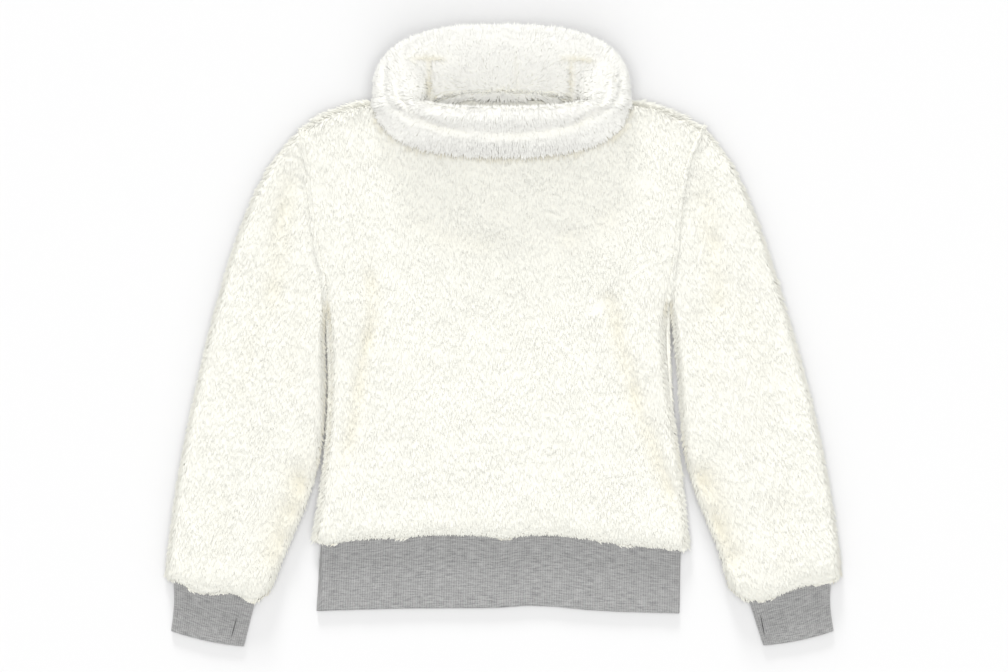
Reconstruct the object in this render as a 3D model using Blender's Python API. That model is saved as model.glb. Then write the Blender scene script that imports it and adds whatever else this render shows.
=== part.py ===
"""A plush pullover with a wide turned-down collar and rib knit hem and cuffs, laid flat.

The garment lies on its back: +X is to the right of someone looking down on it, +Y towards
the collar, +Z up, and the surface that it lies on is Z = 0. Sizes are in millimetres and
the meshes are made in metres. A plush wall is the knit backing with its pile, so it reaches
as far as the fur does. Each piece is the closed shell of its cloth.
"""

from collections import namedtuple

import bmesh
import bpy
import numpy as np

MM = 0.001
SEAM = 0.3

# Heights of the layers above the surface
BODY_TOP = 25.0
SLEEVE_TOP = 28.0
MIDDLE = 10.5
HALF_GAP = 1.65
TOUCHING = 0.15
RIM_HALF = 1.2
# The layers of the body open over this stretch from a folded side: at the hem, then above it
OPENS_FROM = (2.0, 5.0)
OPENS_TO = (7.0, 13.0)
COLLAR_CLEAR = 8.0
COLLAR_TAPER = 12.0

# Rounding of the plush along its folded sides and its lower edges
TOP_RIM = 18.0
UNDER_RIM = 10.0
LIP_TOP = 12.5
LIP_LENGTH = 22.0

# Rib knit, doubled
KNIT_HALF = 3.5
KNIT_HALF_GAP = 0.5
KNIT_WALL = 3.0
KNIT_LIFT = 3.0
KNIT_SETTLES = 18.0
KNIT_STEPS = (0, 0.7, 2, 4, 9)
KNIT_INNER_STEPS = (0, 0.4, 1, 2, 6)
POCKET_HALF = KNIT_HALF + SEAM
BAND_INSET = 8.0
BAND_POCKET = 12.5
BAND_DEPTH = 94.0
BAND_HELD = 3.0
BAND_ROWS = (0, 0.08, 0.13, 0.19, 0.27, 0.5, 0.75, 0.985, 1)
CREASED_ROWS = (0.19, 0.27, 0.5, 0.75, 0.985)
CUFF_POCKET = 21.0
CUFF_HELD = 16.0
CUFF_ROWS = (0, 0.18, 0.26, 0.34, 0.42, 0.5, 0.75, 0.985, 1)
POCKET_TAPER = 12.0

Outline = namedtuple("Outline", "side armhole shoulder")

LEFT = Outline(
    side=[(-238, -257), (-232, -219), (-224, -169), (-218, -119), (-216, -69), (-216, -15), (-222, 41)],
    armhole=[(-222, 41), (-223, 56), (-227, 81), (-235, 119), (-243, 181), (-249, 231), (-252, 257)],
    shoulder=[(-252, 257), (-231, 272), (-209, 285), (-158, 293), (-125, 292)],
)
RIGHT = Outline(
    side=[
        (231, -263), (228, -232), (223, -182), (217, -132), (208, -82), (201, -30), (200, 10), (206, 46),
    ],
    armhole=[(206, 46), (209, 62), (213, 88), (217, 118), (224, 185), (234, 226), (250, 259)],
    shoulder=[(250, 259), (220, 275), (189, 288), (155, 294), (121, 292)],
)
UNDERARM_SHARE = 0.58
NECK_SHARE = 0.3

# Lower edge of the front's plush, over the hem band
HEM = [
    (-238, -257), (-219, -264), (-179, -258), (-127, -257), (-92, -253), (-29, -254), (2, -258),
    (27, -254), (71, -254), (121, -261), (158, -266), (221, -271), (231, -263),
]
BAND_FOOT = [(-234, -346), (-129, -343), (-4, -342), (12, -339), (71, -341), (121, -346), (221, -349)]
BAND_SIDES = ((-230.6, -234.4), (221.9, 220.6))

SleeveRow = namedtuple("SleeveRow", "outer_x outer_y inner_x inner_y")

LEFT_SLEEVE = [
    SleeveRow(-252, 257, -222, 41),
    SleeveRow(-285, 228, -224, 15),
    SleeveRow(-309, 184, -225, -15),
    SleeveRow(-333, 125, -223, -50),
    SleeveRow(-357, 48, -223, -95),
    SleeveRow(-375, -22, -226, -135),
    SleeveRow(-391, -92, -233, -175),
    SleeveRow(-405, -160, -248, -219),
    SleeveRow(-415, -225, -267, -263),
    SleeveRow(-424, -298, -291, -322),
]
RIGHT_SLEEVE = [
    SleeveRow(250, 259, 206, 46),
    SleeveRow(281, 228, 211, 20),
    SleeveRow(302, 184, 214, -8),
    SleeveRow(325, 125, 218, -50),
    SleeveRow(349, 48, 221, -100),
    SleeveRow(370, -22, 225, -145),
    SleeveRow(389, -92, 234, -185),
    SleeveRow(403, -160, 249, -226),
    SleeveRow(415, -225, 267, -269),
    SleeveRow(424, -296, 280, -316),
]

# How far the lower edge of a sleeve's plush hangs past the line between its two corners
Reach = namedtuple("Reach", "share length")

LEFT_REACH = [
    Reach(0, 0), Reach(0.03, 8), Reach(0.19, 12), Reach(0.29, 18), Reach(0.44, 19), Reach(0.58, 12),
    Reach(0.74, 14), Reach(0.84, 19), Reach(0.91, 14), Reach(1, 0),
]
RIGHT_REACH = [
    Reach(0, 0), Reach(0.03, 9), Reach(0.17, 14), Reach(0.33, 14), Reach(0.49, 18), Reach(0.6, 23),
    Reach(0.7, 25), Reach(0.81, 24), Reach(0.91, 16), Reach(1, 0),
]
REACH_FADES = 60.0
SLEEVE_RISES = 90.0
SLEEVE_SIDE_WALL = 9.0
ARMHOLE_GAP = 2 * SEAM
ARMHOLE_GAP_FADES = 30.0
ARMHOLE_BOW_FADES = 120.0
CUFF_SIDE_GAP = 0.006  # in shares of the sleeve's width

# Corners of each cuff: outer and inner end of its upper edge, then of its lower edge
Cuff = namedtuple("Cuff", "outer_top inner_top inner_foot outer_foot slit_top slit_foot waist")

LEFT_CUFF = Cuff((-413, -299), (-309, -326), (-325, -390.3), (-416, -371), (-333, -352), (-341, -381), 2.5)
RIGHT_CUFF = Cuff((411, -297), (304, -323), (325, -389), (413, -371), (321, -348), (327, -380), -3.5)
CUFF_SAG = 3.0
SLIT_WIDTH = 2.0
SLIT_CUT = 6.0

# Closed rings that the collar's cloth runs through: along its inner face, over the crest,
# down the turned-down flap, under its edge, up inside the fold and down the stand.
Ring = namedtuple("Ring", "name side front back z_side z_front z_back square")

COLLAR_X = -2.0
COLLAR_RINGS = [
    Ring("seam_inside", 89, 245, 295, 9.3, 9.3, 9.3, 2.3),
    Ring("wall_low", 90, 256, 312, 24, 28, 15, 2.8),
    Ring("wall_middle", 93, 272, 332, 38, 48, 24, 3.4),
    Ring("shelf", 106, 283, 350, 48, 62, 33, 3.6),
    Ring("lip", 119, 285, 361, 58, 73, 41, 3.2),
    Ring("crest", 133, 271, 373, 67, 80, 46, 2.9),
    Ring("turn", 143, 259, 384.5, 64, 75, 42, 2.7),
    Ring("groove", 146, 252, 386, 55, 61, 33, 2.6),
    Ring("hem_bulge", 157, 240, 390.3, 50, 57, 20, 2.5),
    Ring("hem_low", 163, 226, 384, 36, 38, 8, 2.5),
    Ring("edge", 162, 221, 370, 29, 30, 0.6, 2.5),
    Ring("edge_under", 154, 229, 347, 27, 27.5, 1.2, 2.5),
    Ring("flap_low", 150, 237, 344, 35, 36, 8.5, 2.5),
    Ring("flap_high", 143, 250, 370, 45, 51, 12, 2.6),
    Ring("fold_inside", 135, 269, 376, 54, 67, 30, 2.7),
    Ring("stand_high", 127, 274, 362, 48, 60, 28, 2.8),
    Ring("stand_middle", 114, 259, 342, 39, 46, 17, 2.8),
    Ring("stand_low", 104, 244, 322, 30, 33, 9.5, 2.6),
    Ring("seam_top", 100, 234, 306, 25.8, 25.8, 10.2, 2.3),
    Ring("seam_outside", 100, 234, 306, 9.3, 9.3, 9.3, 2.3),
]
COLLAR_SIDES = 56
# Where the necklines of the front and the back end on the collar's seam, left and right
FRONT_NECK = (np.pi, 2 * np.pi)
BACK_NECK = (np.radians(150), np.radians(30))
RING_TURN = 1.5  # how quickly a ring's height turns from its side to its front or back
COLLAR_RIPPLE = 1.2
RIPPLE_FROM = 42.0
RIPPLE_RISE = 20.0
NECK_GAP = 1.15  # at the corners of the neckline edge; about 0.3 halfway between them

# Soft troughs in the plush, each along a line
Fold = namedtuple("Fold", "depth half_width line")

FOLDS = [
    Fold(3.5, 20, [(-174, 98), (-163, 41), (-179, -44), (-192, -118), (-204, -169)]),
    Fold(3.5, 22, [(131, 56), (134, 41), (164, -76), (199, -173), (221, -219)]),
    Fold(3.0, 16, [(-263, 212), (-278, 118), (-293, 9)]),
    Fold(3.0, 16, [(244, 173), (256, 93), (267, 9)]),
    Fold(1.5, 60, [(-90, 60), (0, 30), (90, 60)]),
]
BAND_CREASE = Fold(1.0, 7, [(3, -262), (10, -338)])

RIM_STEPS = (0, 2, 5, 8.5, 14, 21)
LIP_STEPS = (0, 2.5, 7, 12, 20, 32)
SHOULDER_STEPS = (0, 2, 6, 12, 20)
PANEL_EDGE_COLUMNS = 4
SLEEVE_END_STEPS = (0, 2.5, 7, 13, 21, 30)
SLEEVE_INNER_STEPS = (0, 1, 2.5, 5, 9)
SLEEVE_ROWS = 16
SLEEVE_COLUMNS = 6
BAND_COLUMNS = 11
CUFF_COLUMNS = 4
PANEL_WIDTH = 468.0
PANEL_LENGTH = 515.0

PLUSH = ("plush", (0.93, 0.93, 0.86, 1.0), 0.95)
KNIT = ("rib_knit", (0.41, 0.41, 0.40, 1.0), 0.9)


def smooth(share):
    """An even step from 0 to 1."""
    share = np.clip(share, 0, 1)
    return share * share * (3 - 2 * share)


def quarter(share):
    """A quarter of an ellipse, from 0 at the edge to 1."""
    return np.sqrt(1 - (1 - np.clip(share, 0, 1)) ** 2)


def blend(a, b, share):
    return a + (b - a) * share


def spline(points, steps):
    """Points on a smooth curve through the given ones, at fractional row numbers."""
    points = np.asarray(points, float)
    last = len(points) - 1
    steps = np.clip(steps, 0, last)
    start = np.minimum(steps.astype(int), last - 1)
    share = (steps - start)[:, None]
    before = 2 * points[0] - points[1]
    after = 2 * points[-1] - points[-2]
    padded = np.vstack((before, points, after))
    a, b, c, d = (padded[start + i] for i in range(4))
    linear = (c - a) * share
    squared = (2 * a - 5 * b + 4 * c - d) * share**2
    cubed = (3 * b - a - 3 * c + d) * share**3
    return (2 * b + linear + squared + cubed) / 2


def along(points, shares):
    """Points on the smooth curve through the given ones, at shares of its length."""
    fine = spline(points, np.linspace(0, len(points) - 1, 300))
    length = np.append(0, np.cumsum(np.linalg.norm(np.diff(fine, axis=0), axis=1)))
    wanted = np.asarray(shares, float) * length[-1]
    return np.column_stack([np.interp(wanted, length, column) for column in fine.T])


def distance(places, line):
    """How far each place lies from a line through points."""
    start, step = line[:-1], np.diff(line, axis=0)
    offset = places[..., None, :] - start
    share = np.clip((offset * step).sum(-1) / (step * step).sum(-1), 0, 1)
    return np.linalg.norm(offset - share[..., None] * step, axis=-1).min(-1)


def troughs(places, folds):
    """How deep the folds press each place down."""
    depth = np.zeros(places.shape[:-1])
    for fold in folds:
        away = distance(places, along(fold.line, np.linspace(0, 1, 24)))
        depth += fold.depth * np.exp(-((away / fold.half_width) ** 2))
    return depth


def superellipse(side, front, back, square, angles):
    """Points of a closed ring with rounded corners, in the plane."""
    across, up = np.cos(angles), np.sin(angles)
    radius = (np.abs(across) ** square + np.abs(up) ** square) ** (-1 / square)
    middle, depth = (front + back) / 2, (back - front) / 2
    return np.column_stack((COLLAR_X + side * radius * across, middle + depth * radius * up))


def neckline(angles, clearance=0.0):
    """Points on the outer side of the collar's seam, moved out by the clearance."""
    seam = COLLAR_RINGS[-1]
    front, back = seam.front - clearance, seam.back + clearance
    return superellipse(seam.side + clearance, front, back, seam.square, angles)


def within_neckline(plan):
    """Which places lie inside the collar's seam."""
    seam = COLLAR_RINGS[-1]
    across = np.abs(plan[..., 0] - COLLAR_X) / seam.side
    up = np.abs(plan[..., 1] - (seam.front + seam.back) / 2) / ((seam.back - seam.front) / 2)
    return across**seam.square + up**seam.square < 1


def hem_height(x):
    """Y of the plush's lower edge at each X."""
    edge = along(HEM, np.linspace(0, 1, 120))
    return np.interp(x, edge[:, 0], edge[:, 1])


def make_object(name, grid, closed, finish, collection):
    """A solid from a grid of points whose rows run round the wall of the cloth.

    Each row is a closed loop. The rows close on each other in a ring, or, if closed is
    False, end in two flat strips that join the first half of a row to its second half.
    """
    rows, columns = grid.shape[:2]
    mesh = bmesh.new()
    verts = [[mesh.verts.new(point) for point in row * MM] for row in grid]
    for i in range(rows if closed else rows - 1):
        here, there = verts[i], verts[(i + 1) % rows]
        for j in range(columns):
            k = (j + 1) % columns
            mesh.faces.new((here[j], there[j], there[k], here[k]))
    if not closed:
        half = columns // 2
        for row in (verts[0], verts[-1]):
            for j in range(half - 1):
                mesh.faces.new((row[j], row[j + 1], row[columns - 2 - j], row[columns - 1 - j]))
    bmesh.ops.recalc_face_normals(mesh, faces=mesh.faces)
    data = bpy.data.meshes.new(name)
    mesh.to_mesh(data)
    mesh.free()
    data.shade_smooth()
    data.materials.append(finish)
    obj = bpy.data.objects.new(name, data)
    collection.objects.link(obj)
    return obj


def make_material(name, colour, roughness):
    material = bpy.data.materials.new(name)
    material.use_nodes = True
    shader = material.node_tree.nodes["Principled BSDF"]
    shader.inputs["Base Color"].default_value = colour
    shader.inputs["Roughness"].default_value = roughness
    shader.inputs["Metallic"].default_value = 0.0
    return material


def spaced(edge_steps, length, inner, limit):
    """Shares from 0 to limit: close steps from the edge, then even ones."""
    near = np.array(edge_steps) / length
    return np.append(near, np.linspace(near[-1], limit, inner + 1)[1:])


def panel_plan(neck_angles, shares_up, shares_across):
    """Where each point of a body panel lies, blended from the panel's four edges."""
    clearance = np.array((-SEAM, 0))
    sides = []
    for outline, inward in ((LEFT, -1), (RIGHT, 1)):
        low = along(outline.side, np.minimum(shares_up / UNDERARM_SHARE, 1))
        high_share = np.maximum((shares_up - UNDERARM_SHARE) / (1 - UNDERARM_SHARE), 0)
        high = along(outline.armhole, high_share) + inward * clearance * (high_share > 0)[:, None]
        sides.append(np.where((shares_up <= UNDERARM_SHARE)[:, None], low, high))
    left, right = sides
    neck = neckline(neck_angles, NECK_GAP)
    left_shoulder = np.vstack((LEFT.shoulder, neck[:1]))
    right_shoulder = np.vstack((RIGHT.shoulder, neck[-1:]))
    top = np.empty((len(shares_across), 2))
    for i, share in enumerate(shares_across):
        if share < NECK_SHARE:
            top[i] = along(left_shoulder, [share / NECK_SHARE])[0]
        elif share > 1 - NECK_SHARE:
            top[i] = along(right_shoulder, [(1 - share) / NECK_SHARE])[0]
        else:
            place = (share - NECK_SHARE) / (1 - 2 * NECK_SHARE) * (len(neck) - 1)
            top[i] = [np.interp(place, range(len(neck)), neck[:, axis]) for axis in (0, 1)]
    top[0], top[-1] = left[-1], right[-1]
    foot_x = blend(left[0, 0], right[0, 0], shares_across)
    foot = np.column_stack((foot_x, hem_height(foot_x)))
    foot[0], foot[-1] = left[0], right[0]
    up, across = shares_up[:, None, None], shares_across[None, :, None]
    edges = blend(foot[None], top[None], up) + blend(left[:, None], right[:, None], across)
    return edges - blend(blend(foot[0], foot[-1], across), blend(top[0], top[-1], across), up)


def folded_edges(neck_points):
    """The lines along which front and back close on each other."""
    lines = [along(outline.side, np.linspace(0, 1, 60)) for outline in (LEFT, RIGHT)]
    for outline, neck in zip((LEFT, RIGHT), neck_points):
        lines.append(along(np.vstack((outline.shoulder, neck)), np.linspace(0, 1, 60)))
    return lines


def panel_heights(plan, neck_ends):
    """Heights of a body panel pair at each place: top, upper and lower inside, underside."""
    neck_points = neckline(np.array(neck_ends), NECK_GAP)
    rim = np.min([distance(plan, line) for line in folded_edges(neck_points)], axis=0)
    above_hem = plan[..., 1] - hem_height(plan[..., 0])
    lift = smooth((above_hem - BAND_POCKET) / POCKET_TAPER)
    middle = blend(KNIT_LIFT + KNIT_HALF, MIDDLE, lift)
    ring = neckline(np.linspace(0, 2 * np.pi, 90))
    beside_collar = 1 - smooth((distance(plan, ring) - COLLAR_CLEAR) / COLLAR_TAPER)
    inside = within_neckline(plan)
    near, far = blend(*OPENS_FROM, lift), blend(*OPENS_TO, lift)
    opened = np.maximum(smooth((rim - near) / (far - near)), np.maximum(beside_collar, inside))
    gap = blend(TOUCHING, blend(POCKET_HALF, HALF_GAP, lift), opened)
    full = BODY_TOP - troughs(plan, FOLDS)
    crown = blend(LIP_TOP, full, quarter(above_hem / LIP_LENGTH))
    edge = middle + RIM_HALF
    top = blend(edge, crown, quarter(rim / TOP_RIM))
    under = (middle - RIM_HALF) * (1 - quarter(rim / UNDER_RIM))
    return top, middle + gap, middle - gap, under


def wall_grid(upper, lower):
    """Rows across the panel, each a loop up the upper face and back down the lower."""
    return np.concatenate((upper, lower[::-1]), axis=0).transpose(1, 0, 2)


def with_height(plan, height):
    return np.concatenate((plan, height[..., None]), axis=-1)


def make_panel(name, upper_of, neck_ends, neck_columns, inner_rows, finish, collection):
    """The front or the back, as the wall between two of the pair's four heights."""
    rising = spaced(LIP_STEPS, PANEL_LENGTH, inner_rows[0], UNDERARM_SHARE)
    middle = np.linspace(UNDERARM_SHARE, 1 - SHOULDER_STEPS[-1] / PANEL_LENGTH, inner_rows[1])[1:-1]
    closing = 1 - np.array(SHOULDER_STEPS)[::-1] / PANEL_LENGTH
    shares_up = np.concatenate((rising, middle, closing))
    edge = spaced(RIM_STEPS, PANEL_WIDTH, PANEL_EDGE_COLUMNS, NECK_SHARE)
    neck = np.linspace(NECK_SHARE, 1 - NECK_SHARE, neck_columns + 1)[1:-1]
    shares_across = np.concatenate((edge, neck, 1 - edge[::-1]))
    plan = panel_plan(np.linspace(*neck_ends, 60), shares_up, shares_across)
    heights = panel_heights(plan, neck_ends)
    upper, lower = (with_height(plan, heights[i]) for i in upper_of)
    return make_object(name, wall_grid(upper, lower), False, finish, collection)


def make_front(finish, collection):
    return make_panel("front", (0, 1), FRONT_NECK, 16, (6, 8), finish, collection)


def make_back(finish, collection):
    return make_panel("back", (2, 3), BACK_NECK, 6, (2, 8), finish, collection)


def tube_loops(line, outer, inner):
    """The outer and inner loop of a flattened tube.

    line gives the place at shares of the width. outer and inner hold the shares of the
    columns and their top and bottom heights.
    """
    loops = []
    for shares, top, bottom in (outer, inner):
        plan = line(shares)
        over = with_height(plan, top)
        under = with_height(plan, bottom)[-2:0:-1]
        loops.append(np.vstack((over, under)))
    return loops


def tube_grid(loops):
    """The pairs of outer and inner loops as one wall, out along the tube and back inside it."""
    return np.array([outer for outer, inner in loops] + [inner for outer, inner in loops[::-1]])


def column_shares(width, steps, inner, start=0.0, end=1.0):
    """Shares of a width, close together at both ends of the stretch from start to end."""
    near = np.array(steps) / width
    middle = np.linspace(start + near[-1], end - near[-1], inner + 2)[1:-1]
    return np.concatenate((start + near, middle, end - near[::-1]))


def armhole_bow(outline):
    """How far the armhole's seam swings out from the straight line between its ends."""
    seam = along(outline.armhole[::-1], np.linspace(0, 1, 60))
    share = np.linspace(0, 1, 60)
    bow = seam - blend(seam[0], seam[-1], share[:, None])
    return np.column_stack((share, bow))


def sleeve_sections(rows):
    """Places down the sleeve and the two ends of its width there."""
    dense = spline(np.array(rows, float), np.linspace(0, len(rows) - 1, 300))
    centre = (dense[:, :2] + dense[:, 2:]) / 2
    length = np.append(0, np.cumsum(np.linalg.norm(np.diff(centre, axis=0), axis=1)))
    near_end = length[-1] - np.array(SLEEVE_END_STEPS)
    places = np.append(np.linspace(0, near_end[-1], SLEEVE_ROWS)[:-1], near_end[::-1])
    return places, np.column_stack([np.interp(places, length, column) for column in dense.T])


def cuff_ends(rows, cuff):
    """Where the cuff's two sides meet the sleeve's lower edge, as shares of its width."""
    outer = np.array(rows[-1][:2], float)
    chord = np.subtract(rows[-1][2:], outer)
    corners = (cuff.outer_top, cuff.inner_top)
    return [np.dot(np.subtract(corner, outer), chord) / np.dot(chord, chord) for corner in corners]


def make_sleeve(name, rows, outline, reach, cuff, finish, collection):
    """A flattened tube from the armhole to its lower edge, which closes round the cuff."""
    sign = np.sign(rows[0].outer_x)
    places, sections = sleeve_sections(rows)
    bow = armhole_bow(outline)
    reach_table = np.array(reach)
    chord = sections[-1][2:] - sections[-1][:2]
    down = np.array((chord[1], -chord[0])) / np.linalg.norm(chord)
    down = down * -np.sign(down[1])
    cuff_start, cuff_end = cuff_ends(rows, cuff)
    loops = []
    for place, section in zip(places, sections):
        before_end = places[-1] - place
        width = np.linalg.norm(section[2:] - section[:2])
        gap_left = sign * ARMHOLE_GAP * (1 - smooth(place / ARMHOLE_GAP_FADES))
        bow_left = 1 - smooth(place / ARMHOLE_BOW_FADES)
        reach_left = 1 - smooth(before_end / REACH_FADES)

        def line(share):
            straight = section[:2] + (gap_left, 0) + share[:, None] * (section[2:] - section[:2])
            swing = np.column_stack([np.interp(share, bow[:, 0], bow[:, i]) for i in (1, 2)])
            hang = np.interp(share, reach_table[:, 0], reach_table[:, 1])
            return straight + swing * bow_left + hang[:, None] * down * reach_left

        shut = smooth((before_end - CUFF_POCKET) / POCKET_TAPER)
        middle = blend(KNIT_LIFT + KNIT_HALF, MIDDLE, shut)
        full = blend(BODY_TOP, SLEEVE_TOP, smooth(place / SLEEVE_RISES))
        shares = column_shares(width, RIM_STEPS[:-1], SLEEVE_COLUMNS)
        rim = np.minimum(shares, 1 - shares) * width
        crown = full - troughs(line(shares), FOLDS)
        crown = blend(LIP_TOP, crown, quarter(before_end / LIP_LENGTH))
        top = blend(middle, crown, quarter(rim / TOP_RIM))
        under = middle * (1 - quarter(rim / UNDER_RIM))
        wall = SLEEVE_SIDE_WALL / width
        start = blend(cuff_start - CUFF_SIDE_GAP, wall, shut)
        end = blend(cuff_end + CUFF_SIDE_GAP, 1 - wall, shut)
        inside = column_shares(width, SLEEVE_INNER_STEPS, SLEEVE_COLUMNS, start, end)
        from_edge = np.minimum(inside - start, end - inside) * width
        half = blend(POCKET_HALF, HALF_GAP, shut) * quarter(from_edge / KNIT_HALF)
        outer = (shares, top, under)
        loops.append(tube_loops(line, outer, (inside, middle + half, middle - half)))
    return make_object(name, tube_grid(loops), True, finish, collection)


def knit_loops(line, width, lift, folds, columns):
    """The outer and inner loop of a flattened tube of doubled knit."""
    shares = column_shares(width, KNIT_STEPS, columns)
    rim = np.minimum(shares, 1 - shares) * width
    centre = lift + KNIT_HALF
    half = KNIT_HALF * quarter(rim / KNIT_HALF)
    sag = troughs(line(shares), folds)
    wall = KNIT_WALL / width
    inside = column_shares(width, KNIT_INNER_STEPS, columns, wall, 1 - wall)
    gap = KNIT_HALF_GAP * quarter(np.minimum(inside - wall, 1 - wall - inside) * width)
    outer = (shares, centre + half - sag, centre - half)
    return tube_loops(line, outer, (inside, centre + gap, centre - gap))


def make_hem_band(finish, collection):
    """The knit band: its upper edge is held in the body's lower edge, the rest lies flat."""
    foot = along(BAND_FOOT, np.linspace(0, 1, 120))
    loops = []
    for share in BAND_ROWS:
        left, right = (blend(*side, share) for side in BAND_SIDES)

        def line(shares):
            x = blend(left, right, shares)
            upper = hem_height(x) + BAND_INSET
            return np.column_stack((x, blend(upper, np.interp(x, foot[:, 0], foot[:, 1]), share)))

        below_plush = share * BAND_DEPTH - BAND_INSET
        lift = KNIT_LIFT * (1 - smooth((below_plush - BAND_HELD) / KNIT_SETTLES))
        folds = [BAND_CREASE] if share in CREASED_ROWS else []
        loops.append(knit_loops(line, right - left, lift, folds, BAND_COLUMNS))
    return make_object("hem_band", tube_grid(loops), True, finish, collection)


def make_cuff(name, cuff, finish, collection, cutters):
    """The knit cuff, held in the sleeve's lower edge, with the thumb slit cut in its upper wall."""
    corners = [np.array(corner, float) for corner in cuff[:4]]
    outer_top, inner_top, inner_foot, outer_foot = corners
    length = np.linalg.norm(outer_foot - outer_top)
    loops = []
    for share in CUFF_ROWS:
        waist = np.array((cuff.waist, 0)) * np.sin(np.pi * share)
        outer = blend(outer_top, outer_foot, share) + waist
        inner = blend(inner_top, inner_foot, share)
        across = inner - outer

        def line(shares):
            hang = CUFF_SAG * 4 * shares * (1 - shares) * share
            return outer + shares[:, None] * across - np.column_stack((0 * hang, hang))

        lift = KNIT_LIFT * (1 - smooth((share * length - CUFF_HELD) / KNIT_SETTLES))
        loops.append(knit_loops(line, np.linalg.norm(across), lift, [], CUFF_COLUMNS))
    obj = make_object(name, tube_grid(loops), True, finish, collection)
    cut_slit(obj, cuff, cutters)
    return obj


def cut_slit(obj, cuff, cutters):
    """Cuts the thumb slit from above, as deep as the space between the two walls."""
    top, foot = (np.array(point, float) for point in (cuff.slit_top, cuff.slit_foot))
    run = foot - top
    middle = (top + foot) / 2
    height = KNIT_HALF + SLIT_CUT / 2
    bpy.ops.mesh.primitive_cube_add(size=1, location=(*(middle * MM), height * MM))
    cutter = bpy.context.object
    cutter.name = obj.name + "_slit_cutter"
    cutter.dimensions = (SLIT_WIDTH * MM, np.linalg.norm(run) * MM, SLIT_CUT * MM)
    cutter.rotation_euler.z = np.arctan2(run[1], run[0]) - np.pi / 2
    for collection in cutter.users_collection:
        collection.objects.unlink(cutter)
    cutters.objects.link(cutter)
    cutter.hide_render = True
    cutter.display_type = "WIRE"
    cut = obj.modifiers.new("Thumb slit", "BOOLEAN")
    cut.operation = "DIFFERENCE"
    cut.solver = "EXACT"
    cut.object = cutter


def make_collar(finish, collection):
    """The collar: one wall that rises from the neck seam, turns over and hangs outside."""
    angles = np.linspace(0, 2 * np.pi, COLLAR_SIDES, endpoint=False)
    front, back = (np.maximum(side, 0) ** RING_TURN for side in (-np.sin(angles), np.sin(angles)))
    ripple = COLLAR_RIPPLE * (np.sin(3 * angles + 0.6) + 0.7 * np.sin(7 * angles + 2))
    loops = []
    for ring in COLLAR_RINGS:
        plan = superellipse(ring.side, ring.front, ring.back, ring.square, angles)
        z = ring.z_side + (ring.z_front - ring.z_side) * front + (ring.z_back - ring.z_side) * back
        z = z + ripple * smooth((z - RIPPLE_FROM) / RIPPLE_RISE)
        loops.append(np.column_stack((plan, z)))
    return make_object("collar", np.array(loops), True, finish, collection)


def new_collection(name):
    collection = bpy.data.collections.new(name)
    bpy.context.scene.collection.children.link(collection)
    return collection


def main():
    for obj in list(bpy.data.objects):
        bpy.data.objects.remove(obj)
    pullover = new_collection("Pullover")
    cutters = new_collection("Cutters")
    plush, knit = make_material(*PLUSH), make_material(*KNIT)
    whole = bpy.data.objects.new("pullover", None)
    pullover.objects.link(whole)
    pieces = [
        make_front(plush, pullover),
        make_back(plush, pullover),
        make_sleeve("sleeve_left", LEFT_SLEEVE, LEFT, LEFT_REACH, LEFT_CUFF, plush, pullover),
        make_sleeve("sleeve_right", RIGHT_SLEEVE, RIGHT, RIGHT_REACH, RIGHT_CUFF, plush, pullover),
        make_collar(plush, pullover),
        make_hem_band(knit, pullover),
        make_cuff("cuff_left", LEFT_CUFF, knit, pullover, cutters),
        make_cuff("cuff_right", RIGHT_CUFF, knit, pullover, cutters),
    ]
    for piece in pieces:
        piece.parent = whole


main()
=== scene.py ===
"""Visual model of a plush pullover with a wide turned-down collar and rib knit hem and cuffs.

The garment lies on its back: +X is to the right of someone looking down on it, +Y towards
the collar, +Z up. Each plush piece is a thin backing laid inside the surface of its solid,
with a pile of tufts that reaches out to it. The knit pieces are ribbed, doubled walls.
"""

import math
from collections import namedtuple

import bmesh
import bpy
import numpy as np
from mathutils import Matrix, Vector
from mathutils.bvhtree import BVHTree


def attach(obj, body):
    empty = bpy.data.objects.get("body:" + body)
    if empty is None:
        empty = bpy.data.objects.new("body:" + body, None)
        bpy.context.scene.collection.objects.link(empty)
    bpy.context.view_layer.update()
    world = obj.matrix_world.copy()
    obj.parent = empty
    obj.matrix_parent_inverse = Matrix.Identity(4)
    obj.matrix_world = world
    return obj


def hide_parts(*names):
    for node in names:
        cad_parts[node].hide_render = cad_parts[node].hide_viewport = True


bl_info = {
    "name": "Plush pullover",
    "version": (1, 0, 0),
    "blender": (4, 5, 0),
    "location": "3D View > Sidebar > Pullover",
    "description": "Dresses the solids of a pullover, laid flat, in plush and rib knit",
    "category": "Object",
}

MM = 0.001
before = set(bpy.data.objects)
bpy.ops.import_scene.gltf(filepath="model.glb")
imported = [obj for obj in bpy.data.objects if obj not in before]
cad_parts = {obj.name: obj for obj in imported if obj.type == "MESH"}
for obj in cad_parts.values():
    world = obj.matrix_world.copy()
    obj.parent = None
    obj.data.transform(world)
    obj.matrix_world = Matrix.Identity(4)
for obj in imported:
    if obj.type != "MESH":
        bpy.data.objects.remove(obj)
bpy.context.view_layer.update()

PANELS = ("front", "back")
KNITS = ("hem_band", "cuff_left", "cuff_right")

# How close another piece has to be, in front of a surface, for that surface to be hidden
OWN_SLOT = 10 * MM
PANEL_SLOT = 14 * MM
KNIT_SLOT = 3 * MM
NECK_SLOT = 2 * MM
NAPE_SLOT = 12 * MM
SEAM_SLOT = 1 * MM
COLLAR_SLOT = 1 * MM

# How near other plush is at a seam, how near the knit is to an edge of the plush above it, and how
# near the far side of a slot is where the pile takes on the painted shade colour
SEAM_REACH = 3.5 * MM
KNIT_REACH = 20 * MM
SLOT_REACH = 12 * MM

# How far a seam draws its two pieces together sideways, and how far it lifts them
SEAM_PULL = 3 * MM
SEAM_LIFT = 2.5 * MM

# Where a ray goes on beyond the surface it met, and how far outside a solid the rays start that
# measure how thick it is
RAY_START = 0.05 * MM
THIN_START = 0.6 * MM

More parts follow.
